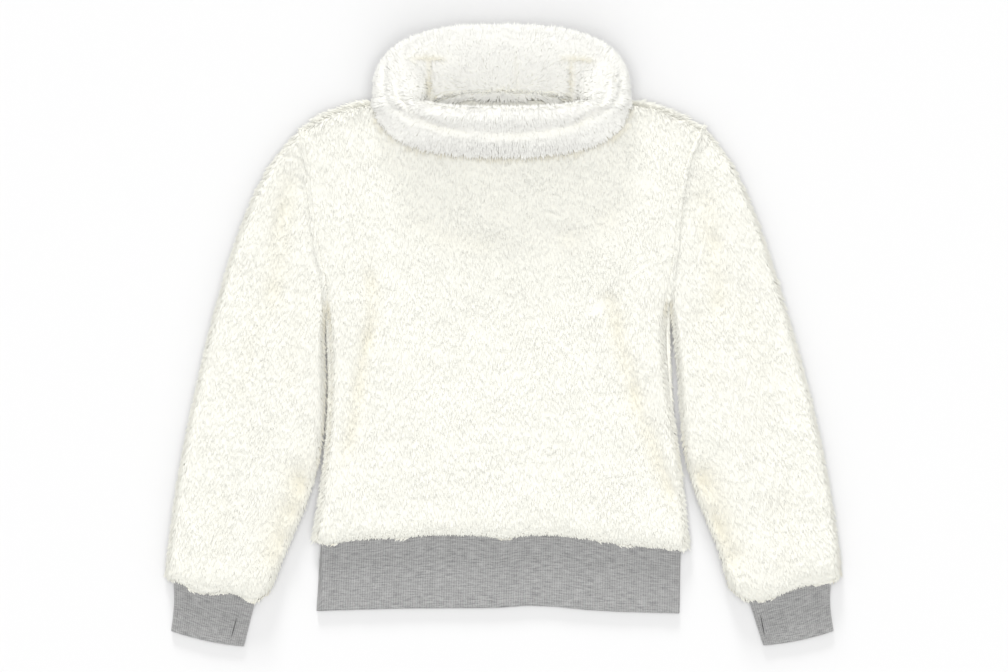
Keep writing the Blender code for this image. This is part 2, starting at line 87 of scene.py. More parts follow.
# The nape, inside the collar's back: it lies beyond this line, faces the hem at least that much,
# and has its backing at most this deep
NAPE_LINE = 283 * MM
NAPE_FACING = -0.15
NAPE_DEPTH = 1.0 * MM

# The collar's middle, how much wider than deep it is, and how its pile is combed across and down.
# Below the flap's line, over the length of its fade, the pile comes to stand up.
COLLAR_MIDDLE = (-2 * MM, 305 * MM)
COLLAR_SHAPE = (1.6, 1.0)
COLLAR_COMB = (0.45, 1.0)
FLAP_LINE = 254 * MM
FLAP_FADE = 14 * MM

# The surface of a solid gets finer and rounder, except along corners sharper than this
FINER_LEVELS = 2
SHARP_CORNER = math.radians(55)

# Soft waves in the plush, in millimetres: their size across, and how far they press in or lift
WAVE_SIZE = 60.0
WAVE_DEPTH = 0.5

# How far the pile takes on the painted shade colour at steep edges and in slots, where shade
# falls, and how open a slot of the back counts as at least
EDGE_PAINTED_SHADE = 0.12
SLOT_PAINTED_SHADE = 1.5
BACK_GAP = 0.85

# The lowest places of the backing, of its wall and of the tufts above the surface
BACKING_FLOOR = 0.1 * MM
CLOTH_FLOOR = 0.05 * MM
TUFT_FLOOR = 0.2 * MM

# The pile's locks and its wider sweeps: how many there are to a metre, and how far they turn a tuft
LOCK_SCALE, LOCK_TURN = 95.0, 0.16
SWEEP_SCALE, SWEEP_TURN = 22.0, 0.12

# How thin a tuft is, as a share of its width
TUFT_FLATNESS = 0.35

# Where the camera stands over the pullover, and how high the cloth is that fills its view
CAMERA_PLACE = (0.6 * MM, -1.9 * MM)
GARMENT_HEIGHT = 12 * MM

# What the tufts are planted by, which the finished pile no longer needs
GUIDES = ("outward", "nap", "cover", "room", "lean", "fluff")

# Creases in the cloth, soft troughs along a line, in millimetres. A negative depth is a ridge. The
# last number is the painted shade: how far the pile takes on the painted shade colour there.
Crease = namedtuple("Crease", "depth half_width line tint", defaults=[0.12])

BODY_CREASES = [
    Crease(4.0, 9, [(-172, 98), (-163, 42), (-178, -44), (-190, -118), (-204, -170)], 0.6),
    Crease(4.0, 10, [(131, 58), (135, 40), (164, -75), (198, -172), (220, -220)], 0.65),
    Crease(2.0, 14, [(-120, 150), (-60, 120), (10, 116)]),
    Crease(2.0, 12, [(150, 170), (110, 130), (60, 120)]),
    Crease(-2.0, 11, [(-150, 90), (-143, 30), (-156, -60)]),
    Crease(-2.0, 11, [(112, 40), (124, 0), (144, -80)]),
    Crease(-0.9, 6, [(-236, 130), (-246, 190), (-250, 240)]),
    Crease(-0.9, 6, [(220, 130), (230, 190), (242, 240)]),
]
LEFT_SLEEVE_CREASES = [
    Crease(4.5, 14, [(-266, 212), (-279, 120), (-290, 10)], 0.4),
    Crease(2.5, 12, [(-246, 70), (-262, -10), (-268, -80)]),
    Crease(7.0, 22, [(-236, -150), (-262, -226), (-290, -300)], 0.75),
    Crease(1.4, 12, [(-300, 60), (-318, -20), (-330, -90)]),
    Crease(1.6, 16, [(-352, -180), (-356, -240), (-362, -300)]),
]
RIGHT_SLEEVE_CREASES = [
    Crease(4.5, 14, [(248, 196), (262, 95), (270, 10)], 0.4),
    Crease(2.5, 12, [(238, 60), (250, -10), (256, -80)]),
    Crease(7.0, 22, [(236, -150), (262, -230), (284, -300)], 0.75),
    Crease(1.4, 12, [(296, 70), (312, -10), (322, -80)]),
    Crease(1.6, 16, [(344, -180), (350, -240), (356, -300)]),
]
COLLAR_CREASES = [
    Crease(3.0, 3.2, [(-88, 288), (-90, 320), (-91, 346)], 1.0),
    Crease(2.0, 3.2, [(-117, 340), (-91, 342), (-68, 339)], 0.9),
    Crease(3.0, 3.2, [(80, 286), (82, 318), (82, 344)], 1.0),
    Crease(2.0, 3.2, [(66, 339), (82, 341), (112, 338)], 0.9),
    Crease(0.5, 2.0, [(14, 296), (15, 320), (14, 350)], 0.25),
    Crease(
        2.4, 4.5,
        [(-133, 345), (-124, 290), (-80, 257), (0, 248), (80, 257), (122, 290), (130, 345)],
        0.15,
    ),
]
BAND_CREASES = [
    Crease(1.0, 7, [(3, -262), (10, -338)]),
    Crease(0.7, 4, [(12, -268), (16, -325)]),
]

# Corners of each cuff: outer and inner end of its upper edge, then of its lower edge, all in
# millimetres. Next come the ends of its thumb slit and how far its outer side draws in.
Cuff = namedtuple("Cuff", "outer_top inner_top inner_foot outer_foot slit_top slit_foot waist")

LEFT_CUFF = Cuff(
    (-413, -299), (-309, -326), (-325, -390.3), (-416, -371), (-333, -352), (-341, -381), 2.5
)
RIGHT_CUFF = Cuff(
    (411, -297), (304, -323), (325, -389), (413, -371), (321, -348), (327, -380), -3.5
)
CUFF_SAG = 3.0
CUFF_HELD = 16.0
BAND_LENGTH = 94.0
BAND_HELD = 11.0

# Where the sides of the hem band are measured, at that height and at these two places down it
BAND_HEIGHT = 5 * MM
BAND_UPPER, BAND_LOWER = -270 * MM, -330 * MM

# The knit, in millimetres: half its height, its doubled wall, half the hollow in it, how far its
# held end is lifted, over what length that fades, how far its ends are rounded, and how many
# columns of its mesh make one rib
KNIT_HALF = 3.5
KNIT_WALL = 3.0
KNIT_GAP = 0.5
KNIT_LIFT = 3.0
KNIT_FADE = 18.0
KNIT_ROUND = 1.8
RIB_COLUMNS = 6

# The knit's colours: streaks and flecks to a metre across and down, and one course of stitches
STREAKS = (75.0, 620.0, 1.0)
FLECKS = (420.0, 1300.0, 1.0)
COURSE = 1.7 * MM

# The cord of knit round a thumb slit, in millimetres
BINDING_SIDES = 8
BINDING_RADIUS = 0.75


class PlushSettings(bpy.types.PropertyGroup):
    """The pile of the plush and its colours."""

    backing_depth: bpy.props.FloatProperty(
        name="Backing depth", description="How far the knit backing lies inside the solids",
        default=0.0035, min=0.001, max=0.008, unit="LENGTH",
    )
    backing_thickness: bpy.props.FloatProperty(
        name="Backing thickness", description="Thickness of the knit backing",
        default=0.0015, min=0.0005, max=0.003, unit="LENGTH",
    )
    pile_length: bpy.props.FloatProperty(
        name="Pile length", description="Length of one tuft",
        default=0.0085, min=0.002, max=0.02, unit="LENGTH",
    )
    tuft_width: bpy.props.FloatProperty(
        name="Tuft width", description="Width of one tuft at its root",
        default=0.0032, min=0.0005, max=0.006, unit="LENGTH",
    )
    density: bpy.props.IntProperty(
        name="Tufts per square metre", description="How close the tufts stand",
        default=250000, min=1000,
    )
    lean: bpy.props.FloatProperty(
        name="Lean", description="How far the pile lies down along its nap on the open panels",
        default=0.86, min=0, max=1, subtype="FACTOR",
    )
    edge_lean: bpy.props.FloatProperty(
        name="Lean at edges", description="How far the pile lies down at edges, where it stands proud",
        default=0.6, min=0, max=1, subtype="FACTOR",
    )
    untidiness: bpy.props.FloatProperty(
        name="Untidiness", description="How much the tufts point every way",
        default=0.1, min=0, max=1, subtype="FACTOR",
    )
    tip_colour: bpy.props.FloatVectorProperty(
        name="Tip colour", description="Colour of the pile at its tips on the panels and sleeves",
        default=(0.928, 0.925, 0.85), size=3, min=0, max=1, subtype="COLOR",
    )
    # Painted light: the collar's pile is made lighter than the panels' for the light that its slopes
    # miss.
    collar_painted_light_colour: bpy.props.FloatVectorProperty(
        name="Collar's tip colour", description="Colour of the collar's brightened pile at its tips",
        default=(0.99, 0.987, 0.94), size=3, min=0, max=1, subtype="COLOR",
    )
    # The roots' warmer colour, which shows between the tufts, is partly painted shade for the shade deep
    # in the pile.
    root_colour: bpy.props.FloatVectorProperty(
        name="Root colour", description="Colour of the pile and the backing at the roots",
        default=(0.93, 0.915, 0.825), size=3, min=0, max=1, subtype="COLOR",
    )
    # Painted shade: the colour that the pile takes on in creases, at steep edges and in slots.
    painted_shade_colour: bpy.props.FloatVectorProperty(
        name="Hollow colour", description="Colour of the pile along creases and in slots",
        default=(0.86, 0.825, 0.69), size=3, min=0, max=1, subtype="COLOR",
    )


class KnitSettings(bpy.types.PropertyGroup):
    """The rib knit and its colours."""

    rib_pitch: bpy.props.FloatProperty(
        name="Rib pitch", description="Width of one rib",
        default=0.003, min=0.001, max=0.01, unit="LENGTH",
    )
    rib_relief: bpy.props.FloatProperty(
        name="Rib relief", description="Depth of the groove between two ribs",
        default=0.0006, min=0, max=0.002, unit="LENGTH",
    )
    light_colour: bpy.props.FloatVectorProperty(
        name="Light yarn", description="Colour of the light fibres",
        default=(0.45, 0.45, 0.445), size=3, min=0, max=1, subtype="COLOR",
    )
    dark_colour: bpy.props.FloatVectorProperty(
        name="Dark yarn", description="Colour of the dark fibres",
        default=(0.225, 0.225, 0.225), size=3, min=0, max=1, subtype="COLOR",
    )


class StageSettings(bpy.types.PropertyGroup):
    """The surface, the lights and the camera."""

    floor_colour: bpy.props.FloatVectorProperty(
        name="Floor", description="Colour of the surface",
        default=(0.80, 0.80, 0.80), size=3, min=0, max=1, subtype="COLOR",
    )
    sky_strength: bpy.props.FloatProperty(
        name="Sky", description="Strength of the even light from all sides",
        default=0.52, min=0,
    )
    key_strength: bpy.props.FloatProperty(
        name="Key light", description="Strength of the low light from beyond the collar",
        default=1.65, min=0,
    )
    top_strength: bpy.props.FloatProperty(
        name="Top light", description="Strength of the wide soft light straight above",
        default=1.5, min=0,
    )
    fill_strength: bpy.props.FloatProperty(
        name="Fill light", description="Strength of the wide soft light from the hem's side",
        default=0.55, min=0,
    )
    camera_height: bpy.props.FloatProperty(
        name="Camera height", description="Height of the camera above the surface",
        default=8, min=1, unit="LENGTH",
    )
    frame_width: bpy.props.FloatProperty(
        name="Frame width", description="Width of the view at the garment",
        default=1.26, min=0.1, unit="LENGTH",
    )


class Value:
    """A node's output that takes part in arithmetic: each operation adds its Math node."""

    def __init__(self, graph, socket):
        self.graph, self.socket = graph, socket

    def __add__(self, other):
        return self.graph.math("ADD", self, other)

    def __radd__(self, other):
        return self.graph.math("ADD", other, self)

    def __sub__(self, other):
        return self.graph.math("SUBTRACT", self, other)

    def __rsub__(self, other):
        return self.graph.math("SUBTRACT", other, self)

    def __mul__(self, other):
        return self.graph.math("MULTIPLY", self, other)

    def __rmul__(self, other):
        return self.graph.math("MULTIPLY", other, self)


class Graph:
    """Adds nodes to a tree."""

    def __init__(self, tree):
        self.tree = tree

    def node(self, kind, settings=None, **inputs):
        """A node of any type, its settings first and then the values or links of its sockets."""
        node = self.tree.nodes.new(kind)
        for name, value in (settings or {}).items():
            setattr(node, name, value)
        for name, value in inputs.items():
            words = name.replace("_", " ").lower()
            socket = next(s for s in node.inputs if s.enabled and s.name.lower() == words)
            self.feed(socket, value)
        return node

    def feed(self, socket, value):
        """Links a value's output to a socket, or sets the socket to a plain value."""
        if isinstance(value, Value):
            value = value.socket
        if isinstance(value, bpy.types.NodeSocket):
            self.tree.links.new(value, socket)
        else:
            socket.default_value = value

    def math(self, operation, *values):
        node = self.node("ShaderNodeMath", {"operation": operation})
        for socket, value in zip(node.inputs, values):
            self.feed(socket, value)
        return Value(self, node.outputs[0])

    def vector(self, operation, *values):
        node = self.node("ShaderNodeVectorMath", {"operation": operation})
        for socket, value in zip(node.inputs, values):
            self.feed(socket, value)
        return Value(self, node.outputs["Vector"])

    def attribute(self, name):
        """A number that a surface carries under that name, for a material."""
        node = self.node("ShaderNodeAttribute", {"attribute_name": name})
        return Value(self, node.outputs["Fac"])

    def scaled(self, vector, scale):
        node = self.node("ShaderNodeVectorMath", {"operation": "SCALE"})
        self.feed(node.inputs["Vector"], vector)
        self.feed(node.inputs["Scale"], scale)
        return Value(self, node.outputs["Vector"])

    def noise(self, vector, scale, detail=2.0, roughness=0.5, output="Fac"):
        node = self.node(
            "ShaderNodeTexNoise", Vector=vector, Scale=scale, Detail=detail, Roughness=roughness
        )
        return Value(self, node.outputs[output])

    def mix(self, factor, a, b):
        """A mix of two colours."""
        node = self.node("ShaderNodeMix", {"data_type": "RGBA"})
        self.feed(node.inputs["Factor"], factor)
        for socket, value in zip([s for s in node.inputs if s.type == "RGBA"], (a, b)):
            self.feed(socket, value)
        return next(s for s in node.outputs if s.type == "RGBA")

    def smooth(self, value, low, high):
        """A soft step from 0 at the low value to 1 at the high one."""
        node = self.node("ShaderNodeMapRange", {"interpolation_type": "SMOOTHSTEP"})
        for name, number in (("Value", value), ("From Min", low), ("From Max", high)):
            self.feed(node.inputs[name], number)
        return Value(self, node.outputs[0])


def colour(values, factor=1.0):
    """A socket's colour from a setting's, made darker or lighter by the factor."""
    return (*(min(1.0, value * factor) for value in values), 1.0)


def new_material(name, roughness, sheen):
    """A cloth material and its graph, whose colour and bump are still to be joined."""
    material = bpy.data.materials.new(name)
    material.use_nodes = True
    shader = material.node_tree.nodes["Principled BSDF"]
    shader.inputs["Roughness"].default_value = roughness
    shader.inputs["Specular IOR Level"].default_value = 0.2
    shader.inputs["Sheen Weight"].default_value = sheen
    shader.inputs["Sheen Roughness"].default_value = 0.5
    return material, Graph(material.node_tree), shader


def pile_material(settings, name="Plush pile", tips=None, roots=None):
    """Tufts: warmer and darker at the root, nearly white at the tip, each a little different."""
    material, graph, shader = new_material(name, 0.9, 0.15)
    tip, tone, hollow = (graph.attribute(name) for name in ("tip", "tone", "hollow"))
    place = graph.node("ShaderNodeTexCoord").outputs["Object"]
    patches = graph.noise(place, 14.0, 3.0)
    share = graph.smooth(tip + (tone - 0.5) * 0.2 + (patches - 0.5) * 0.16, -0.2, 0.7)
    # The warmer roots, which show between the tufts, are partly painted shade for the shade deep in the
    # pile.
    root, end = colour(roots or settings.root_colour), colour(tips or settings.tip_colour)
    # Painted shade: by the hollow attribute the pile turns to the painted shade colour in creases, at
    # steep edges and in slots.
    pile = graph.mix(hollow, graph.mix(share, root, end), colour(settings.painted_shade_colour))
    graph.feed(shader.inputs["Base Color"], pile)
    return material


def collar_pile_material(settings):
    """The collar's pile, lighter than the panels' from root to tip: painted light, for the light that its
    slopes miss.
    """
    roots = blend(np.array(settings.root_colour), np.array(settings.collar_painted_light_colour), 0.7)
    return pile_material(settings, "Collar pile", settings.collar_painted_light_colour, tuple(roots.tolist()))


def backing_material(settings):
    """The backing between the tufts: fine pressed pile over knit."""
    material, graph, shader = new_material("Plush backing", 0.95, 0.1)
    place = graph.node("ShaderNodeTexCoord").outputs["Object"]
    fibres = graph.noise(graph.vector("MULTIPLY", place, (1.0, 0.4, 1.0)), 900.0, 4.0, 0.7)
    covered = graph.mix(fibres, colour(settings.root_colour), colour(settings.tip_colour))
    # Painted shade: the backing is darker where little pile has room, in narrow places between pieces.
    shade = graph.mix(graph.attribute("bare") * 0.9, covered, colour(settings.root_colour, 0.8))
    bump = graph.node("ShaderNodeBump", Strength=0.4, Distance=0.001, Height=fibres.socket)
    graph.feed(shader.inputs["Base Color"], shade)
    graph.feed(shader.inputs["Normal"], bump.outputs["Normal"])
    return material


def knit_material(settings):
    """Heather-grey rib: streaks of light and dark fibres along the courses, stitches on each rib."""
    material, graph, shader = new_material("Heather rib knit", 0.92, 0.25)
    uv = graph.node("ShaderNodeUVMap", {"uv_map": "Knit"}).outputs["UV"]
    streaks = graph.noise(graph.vector("MULTIPLY", uv, STREAKS), 1.0, 3.0, 0.6)
    flecks = graph.noise(graph.vector("MULTIPLY", uv, FLECKS), 1.0, 2.0, 0.6)
    split = graph.node("ShaderNodeSeparateXYZ", Vector=uv)
    across, down = (Value(graph, split.outputs[i]) for i in (0, 1))
    rib = graph.math("ABSOLUTE", graph.math("SINE", across * (math.pi / settings.rib_pitch)))
    course = graph.math("SINE", down * (2 * math.pi / COURSE) + rib * 2.2)
    # The rib term makes the yarn a little darker in the grooves between ribs: painted shade.
    fibre = graph.smooth(streaks * 0.62 + flecks * 0.3 + rib * 0.08, 0.34, 0.66)
    yarn = graph.mix(fibre, colour(settings.dark_colour), colour(settings.light_colour))
    height = rib * 0.5 + course * 0.25 + flecks * 0.4
    bump = graph.node("ShaderNodeBump", Strength=0.7, Distance=0.0005, Height=height.socket)
    graph.feed(shader.inputs["Base Color"], yarn)
    graph.feed(shader.inputs["Normal"], bump.outputs["Normal"])
    return material


def material_named(name, make, settings):
    """The material of that name, made the first time that it is asked for."""
    return bpy.data.materials.get(name) or make(settings)


def placed(name, data):
    """A new object in the scene, for a mesh, a light or a camera."""
    obj = bpy.data.objects.new(name, data)
    bpy.context.scene.collection.objects.link(obj)
    return obj


def smooth_step(share):
    """A soft step from 0 to 1."""
    share = np.clip(share, 0, 1)
    return share * share * (3 - 2 * share)


def quarter(share):
    """A quarter of an ellipse, from 0 at the edge to 1."""
    return np.sqrt(1 - (1 - np.clip(share, 0, 1)) ** 2)


def blend(a, b, share):
    """A value between two others."""
    return a + (b - a) * share


def curve_through(points, count=28):
    """Points on a smooth curve through the given ones."""
    points = np.asarray(points, float)
    steps = np.linspace(0, len(points) - 1, count)
    start = np.minimum(steps.astype(int), len(points) - 2)
    share = (steps - start)[:, None]
    padded = np.vstack((2 * points[0] - points[1], points, 2 * points[-1] - points[-2]))
    a, b, c, d = (padded[start + i] for i in range(4))
    bends = (2 * a - 5 * b + 4 * c - d) * share**2 + (3 * b - a - 3 * c + d) * share**3
    return (2 * b + (c - a) * share + bends) / 2


def waves(places, size, seed):
    """A soft uneven field between about -1 and 1, with waves of that size."""
    rng = np.random.default_rng(seed)
    total = np.zeros(len(places))
    for _ in range(6):
        angle = rng.uniform(0, 2 * np.pi)
        phase = rng.uniform(0, 2 * np.pi)
        scale = rng.uniform(0.6, 1.6)
        along = places[:, 0] * np.cos(angle) + places[:, 1] * np.sin(angle)
        total += np.sin(along * 2 * np.pi / (size * scale) + phase)
    return total / 3


def crease_depth(places, creases):
    """How far the creases press in each place, and how much painted shade they give it. Places are in
    millimetres.
    """
    depth, tint = np.zeros(len(places)), np.zeros(len(places))
    for number, crease in enumerate(creases):
        line = curve_through(crease.line)
        start, step = line[:-1], np.diff(line, axis=0)
        offset = places[:, None, :2] - start
        share = np.clip((offset * step).sum(-1) / (step * step).sum(-1), 0, 1)
        away = np.linalg.norm(offset - share[..., None] * step, axis=-1)
        nearest = away.argmin(1)
        run = (nearest + share[np.arange(len(places)), nearest]) / len(step)
        fade = smooth_step(np.minimum(run, 1 - run) / 0.18) * 0.85 + 0.15
        uneven = 1 + 0.35 * waves(places, 45.0, number)
        shape = fade * uneven * np.exp(-((away.min(1) / crease.half_width) ** 2))
        depth += crease.depth * shape
        if crease.depth > 0:
            tint = np.maximum(tint, crease.tint * shape)
    return depth, tint


def solid_tree(node):
    """A node's surface, for rays and for nearest places."""
    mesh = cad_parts[node].data
    corners = [vertex.co.copy() for vertex in mesh.vertices]
    return BVHTree.FromPolygons(corners, [tuple(polygon.vertices) for polygon in mesh.polygons])


def slot_limit(node, other):
    """How near the other piece has to be in front of this one's surface to hide it."""
    if node == other:
        return COLLAR_SLOT if node == "collar" else OWN_SLOT
    if node in PANELS and other in PANELS:
        return PANEL_SLOT
    if other in KNITS:
        return KNIT_SLOT
    if (node, other) == ("back", "collar"):
        return NAPE_SLOT
    return NECK_SLOT if "collar" in (node, other) else SEAM_SLOT


def fine_solid(node):
    """A finer, rounded copy of a node's surface, as a bmesh."""
    mesh = bmesh.new()
    mesh.from_mesh(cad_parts[node].data)
    bmesh.ops.remove_doubles(mesh, verts=mesh.verts, dist=0.01 * MM)
    bmesh.ops.join_triangles(
        mesh, faces=mesh.faces,
        angle_face_threshold=math.radians(50), angle_shape_threshold=math.radians(70),
    )
    sharp = mesh.edges.layers.float.new("crease_edge")
    for edge in mesh.edges:
        if edge.is_manifold and edge.calc_face_angle() > SHARP_CORNER:
            edge[sharp] = 1.0
    data = bpy.data.meshes.new(node + "_rough")
    mesh.to_mesh(data)
    mesh.free()
    obj = placed(data.name, data)
    finer = obj.modifiers.new("Finer", "SUBSURF")
    finer.levels = finer.render_levels = FINER_LEVELS
    fine = plain_mesh(obj, node + "_fine")
    result = bmesh.new()
    result.from_mesh(fine)
    bpy.data.objects.remove(obj)
    bpy.data.meshes.remove(data)
    bpy.data.meshes.remove(fine)
    return result


def plain_mesh(obj, name):
    """The object's mesh with its modifiers applied."""
    bpy.context.view_layer.update()
    graph = bpy.context.evaluated_depsgraph_get()
    mesh = bpy.data.meshes.new_from_object(
        obj.evaluated_get(graph), preserve_all_data_layers=True, depsgraph=graph
    )
    mesh.name = name
    return mesh


def first_outside(tree, start, way, reach, side=-1):
    """How far along a ray a solid's surface first faces the start, at most the reach.

    With side 1 it is the first surface that faces away from the start.
    """
    gone = 0.0
    while gone < reach:
        place, normal, _, away = tree.ray_cast(start, way, reach - gone)
        if place is None:
            return reach
        gone += away
        if normal.dot(way) * side > 0:
            return gone
        start = place + way * RAY_START
        gone += RAY_START
    return reach


def drop_hidden(mesh, node, trees):
    """Deletes the faces that another piece or the far side of a slot covers."""
    limits = [(tree, slot_limit(node, other)) for other, tree in trees.items()]
    hidden = []
    for face in mesh.faces:
        centre, normal = face.calc_center_median(), face.normal
        if node == "collar" and centre.y > NAPE_LINE and normal.y < NAPE_FACING and normal.z > 0.2:
            continue
        if any(first_outside(tree, centre, normal, limit) < limit for tree, limit in limits):
            hidden.append(face)
    bmesh.ops.delete(mesh, geom=hidden, context="FACES")


def drop_crumbs(mesh, least=40):
    """Deletes small loose bits of surface."""
    left = set(mesh.faces)
    crumbs = []
    while left:
        patch, edge = [], [left.pop()]
        while edge:
            face = edge.pop()
            patch.append(face)
            for near in (n for e in face.edges for n in e.link_faces if n in left):
                left.discard(near)
                edge.append(near)
        if len(patch) < least:
            crumbs += patch
    bmesh.ops.delete(mesh, geom=crumbs, context="FACES")


def values_of(items, key, width=1):
    """A number, or a row of them, from each of a mesh's items."""
    found = np.empty(len(items) * width)
    items.foreach_get(key, found)
    return found.reshape(-1, width) if width > 1 else found


def mesh_arrays(data):
    """The places and the normals of a mesh."""
    return values_of(data.vertices, "co", 3), values_of(data.vertex_normals, "vector", 3)


def set_places(data, places, floor):
    """Moves a mesh's corners to those places, none of them below the floor, and returns them."""
    places = np.column_stack((places[:, :2], np.maximum(places[:, 2], floor)))
    data.vertices.foreach_set("co", places.ravel())
    data.update()
    return places


def unit(vectors):
    """The same directions with a length of 1."""
    return vectors / np.maximum(np.linalg.norm(vectors, axis=-1, keepdims=True), 1e-9)


def nap_of(node, places, normals):
    """Which way the pile lies at each place, along the surface."""
    if node == "collar":
        out = (places[:, :2] - np.array(COLLAR_MIDDLE)) / COLLAR_SHAPE
        out = unit(out * COLLAR_COMB)
        ring = np.column_stack((-out[:, 1], out[:, 0], np.zeros(len(out))))
        return unit(np.cross(ring, normals))
    sleeves = {"sleeve_left": (-0.24, -0.97, 0), "sleeve_right": (0.24, -0.97, 0)}
    direction = sleeves.get(node, (0, -1, 0))
    along = np.tile(np.array(direction, float), (len(places), 1))
    return unit(along - (along * normals).sum(-1, keepdims=True) * normals)


def free_room(places, normals, trees, reach):
    """How far each place is from the next piece or the surface below, up to the reach."""
    room = np.full(len(places), reach)
    facing_down = normals[:, 2] < -0.05
    room[facing_down] = np.minimum(reach, places[facing_down, 2] / -normals[facing_down, 2])
    for i, (place, normal) in enumerate(zip(places, normals)):
        for tree in trees.values():
            room[i] = first_outside(tree, Vector(place), Vector(normal), room[i])
    return room


def above_knit(places, normals, trees):
    """Which places, from 0 to 1, are on an edge that ends just above the rib knit."""
    edge = np.zeros(len(places))
    for i in np.flatnonzero(normals[:, 1] < -0.2):
        for knit in KNITS:
            near, _, _, away = trees[knit].find_nearest(Vector(places[i]), KNIT_REACH)
            if near is not None:
                edge[i] = max(edge[i], 1 - away / KNIT_REACH)
    return smooth_step(2 * edge)


def limit_depth(places, normals, tree, depth):
    """Keeps the backing within the upper part of a thin solid."""
    for i, (place, normal) in enumerate(zip(places, normals)):
        way = Vector(-normal)
        start = Vector(place) - way * THIN_START
        enters = first_outside(tree, start, way, 3 * THIN_START)
        if enters < 3 * THIN_START:
            within = start + way * (enters + RAY_START)
            leaves = enters + first_outside(tree, within, way, 3 * depth[i], 1)
            depth[i] = min(depth[i], 0.4 * (leaves - enters))
    return depth


def close_seams(places, normals, node, trees):
    """Draws two plush pieces together along their seam, and turns their surface outward there.

    A seam between the two panels isn't turned. The last result is how near each place is to a seam.
    """
    turned = normals.copy()
    pull, lift = np.zeros(len(places)), np.zeros(len(places))
    for other, tree in trees.items():
        if other == node or other in KNITS or "collar" in (node, other):
            continue
        for i, place in enumerate(places):
            near, facing, _, away = tree.find_nearest(Vector(place), SEAM_REACH)
            if near is not None:
                share = smooth_step(1.4 * (1 - away / SEAM_REACH))
                pull[i] = max(pull[i], share)
                if node not in PANELS or other not in PANELS:
                    turned[i] += (np.array(facing) + (0, 0, 0.5)) * share
                    lift[i] = max(lift[i], share * max(0, 1 - normals[i, 2]) * (normals[i, 2] > 0))
    turned = unit(turned)
    sideways = (normals - turned) * (1, 1, 0)
    closer = sideways * (SEAM_PULL * pull)[:, None]
    closer[:, 2] += SEAM_LIFT * lift
    return places + closer, turned, pull


def fluff_of(node, places, normals):
    """How far the pile stands up at each place, from 0 on the open panels to 1."""
    edge = smooth_step((0.8 - normals[:, 2]) / 0.6)
    if node != "collar":
        return edge
    flap = smooth_step((FLAP_LINE - places[:, 1]) / FLAP_FADE)
    return np.maximum(0.3 * edge, flap * smooth_step((0.9 - normals[:, 2]) / 0.3))


def add_attributes(data, **fields):
    """Stores a number or a vector for each corner of the mesh, under each name."""
    for name, values in fields.items():
        kind, key = ("FLOAT_VECTOR", "vector") if values.ndim == 2 else ("FLOAT", "value")
        attribute = data.attributes.new(name, kind, "POINT")
        attribute.data.foreach_set(key, values.astype(np.float32).ravel())


